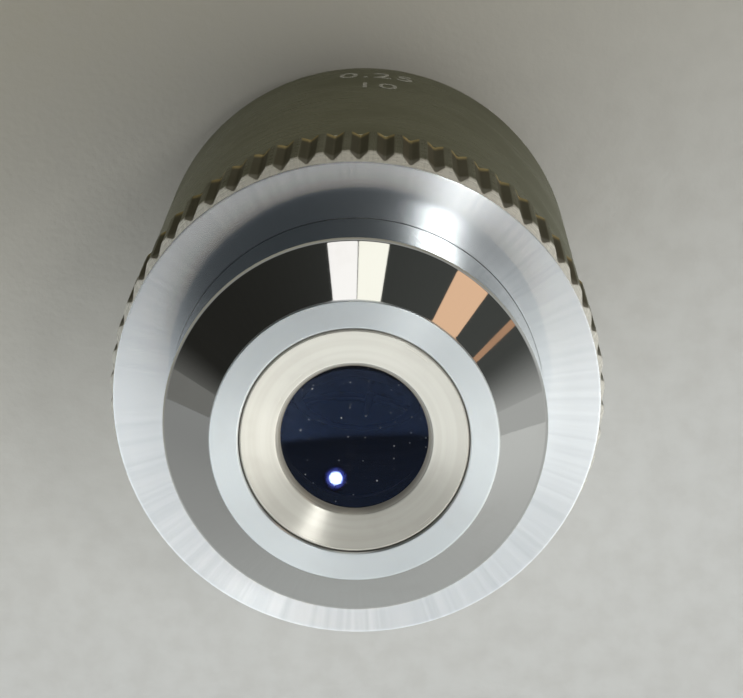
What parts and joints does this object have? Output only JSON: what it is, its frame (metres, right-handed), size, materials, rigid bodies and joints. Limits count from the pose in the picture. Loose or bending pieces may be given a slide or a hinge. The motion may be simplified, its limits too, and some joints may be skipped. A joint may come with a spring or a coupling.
{
  "type": "microscope objective",
  "caption": "Low-power microscope objective: plated barrel with a standard objective thread, knurled collar, polished conical nose and a dished cell round the front lens.",
  "frame": {"origin": "middle of the thread's end face, on the optical axis, where the objective stands on a table", "axes": "+Z along the optical axis from the thread to the nose; the engraved side of the barrel faces -Y"},
  "size_m": [0.0244, 0.0244, 0.0416],
  "materials": {
    "satin_chrome": "satin chrome plate on turned brass, a little worn",
    "polished_chrome": "mirror polished chrome plate with a satin front face",
    "nickel_silver": "bare nickel silver, finely turned",
    "black_brass": "chemically blackened brass, matte",
    "bare_brass": "plain rolled brass",
    "lens_glass": "polished optical glass with a blue anti-reflection coating"
  },
  "bodies": {
    "root": {"barrel": "satin_chrome", "knurled_collar": "satin_chrome", "nose": "polished_chrome", "front_cell": "nickel_silver", "front_flint": "lens_glass", "front_crown": "lens_glass", "front_ring": "black_brass", "lens_tube": "black_brass", "separation_shim": "bare_brass", "aperture_stop": "black_brass", "rear_cell": "black_brass", "rear_flint": "lens_glass", "rear_crown": "lens_glass", "rear_ring": "black_brass", "lock_ring": "black_brass", "parfocal_shim": "bare_brass", "light_baffle": "black_brass"}
  },
  "joints": []
}
